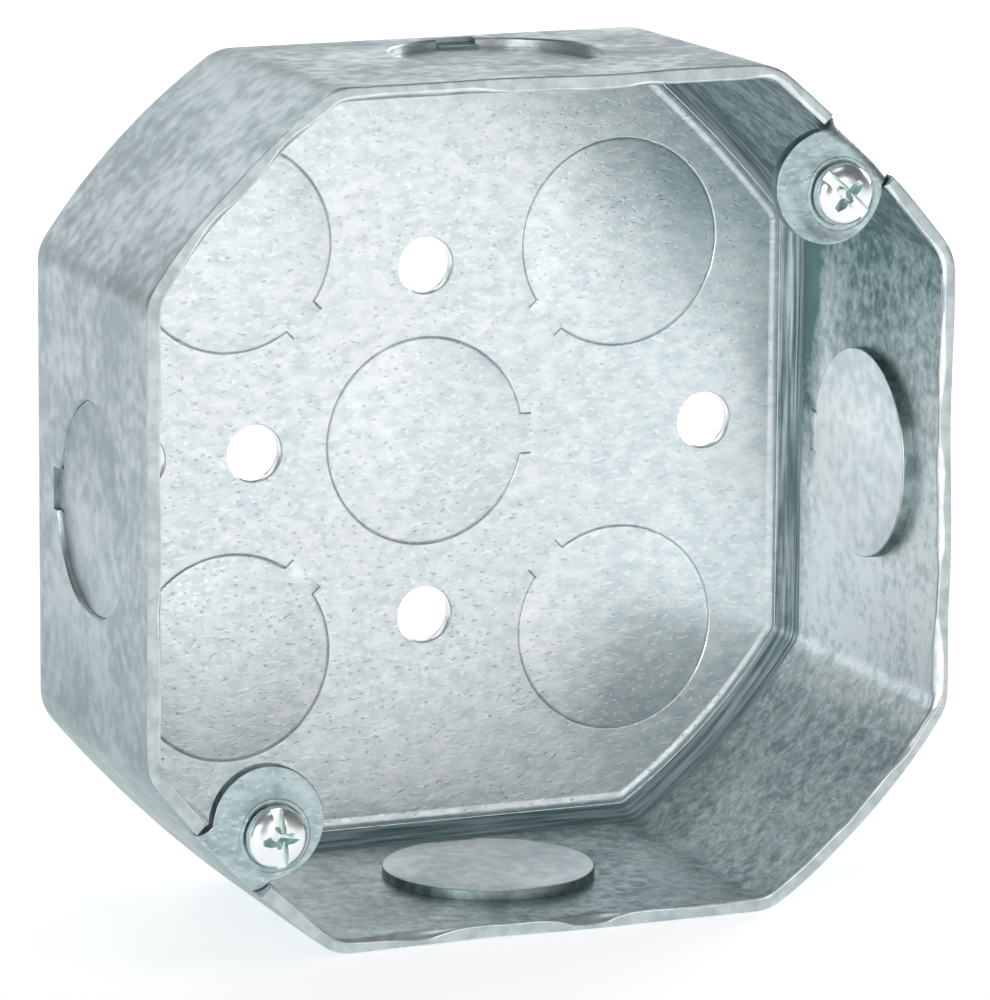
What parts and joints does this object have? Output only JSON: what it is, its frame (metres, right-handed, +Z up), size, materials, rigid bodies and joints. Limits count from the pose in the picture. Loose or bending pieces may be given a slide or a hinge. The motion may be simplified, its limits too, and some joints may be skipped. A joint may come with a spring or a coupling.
{
  "type": "electrical junction box",
  "caption": "Octagonal drawn-steel electrical box with an open front, round knockouts in its back and sides, and folded ears that hold cover screws.",
  "frame": {"origin": "middle of the bounding box at its base, where the lower flat wall rests", "axes": "+X to the right and +Z up as seen from the open front, +Y from the open front towards the back plate"},
  "size_m": [0.0902, 0.0392, 0.0902],
  "materials": {
    "galvanised_sheet": "galvanised, mottled satin",
    "galvanised_slug": "galvanised, mottled satin",
    "bright_zinc": "bright zinc plating"
  },
  "bodies": {
    "box": {"box_body": "galvanised_sheet"},
    "knockout_top": {"knockout_top": "galvanised_slug"},
    "knockout_right": {"knockout_right": "galvanised_slug"},
    "knockout_bottom": {"knockout_bottom": "galvanised_slug"},
    "knockout_left": {"knockout_left": "galvanised_slug"},
    "knockout_back_centre": {"knockout_back_centre": "galvanised_slug"},
    "knockout_back_upper_right": {"knockout_back_upper_right": "galvanised_slug"},
    "knockout_back_lower_right": {"knockout_back_lower_right": "galvanised_slug"},
    "knockout_back_lower_left": {"knockout_back_lower_left": "galvanised_slug"},
    "knockout_back_upper_left": {"knockout_back_upper_left": "galvanised_slug"},
    "cover_screw_upper": {"cover_screw_upper": "bright_zinc"},
    "cover_screw_lower": {"cover_screw_lower": "bright_zinc"}
  },
  "joints": [
    {"name": "knockout_top_bend", "type": "hinge", "parent": "box", "child": "knockout_top", "pos_m": [0.0012, 0.01423, 0.08689], "axis": [1, 0, 0], "range_deg": [0, 60]},
    {"name": "knockout_right_bend", "type": "hinge", "parent": "box", "child": "knockout_right", "pos_m": [0.04183, 0.01113, 0.0449], "axis": [0, 0, -1], "range_deg": [0, 60]},
    {"name": "knockout_bottom_bend", "type": "hinge", "parent": "box", "child": "knockout_bottom", "pos_m": [0.0003, 0.01293, 0.00329], "axis": [-1, 0, 0], "range_deg": [0, 60]},
    {"name": "knockout_left_bend", "type": "hinge", "parent": "box", "child": "knockout_left", "pos_m": [-0.04183, 0.01113, 0.0451], "axis": [0, 0, 1], "range_deg": [0, 60]},
    {"name": "knockout_back_centre_bend", "type": "hinge", "parent": "box", "child": "knockout_back_centre", "pos_m": [0.0123, 0.0178, 0.0456], "axis": [0, 0, 1], "range_deg": [0, 60]},
    {"name": "knockout_back_upper_right_bend", "type": "hinge", "parent": "box", "child": "knockout_back_upper_right", "pos_m": [0.01345, 0.0178, 0.05768], "axis": [0.6682, 0, -0.7439], "range_deg": [0, 60]},
    {"name": "knockout_back_lower_right_bend", "type": "hinge", "parent": "box", "child": "knockout_back_lower_right", "pos_m": [0.01368, 0.0178, 0.03198], "axis": [-0.7055, 0, -0.7087], "range_deg": [0, 60]},
    {"name": "knockout_back_lower_left_bend", "type": "hinge", "parent": "box", "child": "knockout_back_lower_left", "pos_m": [-0.01364, 0.0178, 0.03214], "axis": [-0.7023, 0, 0.7119], "range_deg": [0, 60]},
    {"name": "knockout_back_upper_left_bend", "type": "hinge", "parent": "box", "child": "knockout_back_upper_left", "pos_m": [-0.01352, 0.0178, 0.05918], "axis": [0.7087, 0, 0.7055], "range_deg": [0, 60]},
    {"name": "cover_screw_upper_travel", "type": "slide", "parent": "box", "child": "cover_screw_upper", "axis": [0, -1, 0], "range_m": [0, 0.007]},
    {"name": "cover_screw_lower_travel", "type": "slide", "parent": "box", "child": "cover_screw_lower", "axis": [0, -1, 0], "range_m": [0, 0.007]}
  ]
}
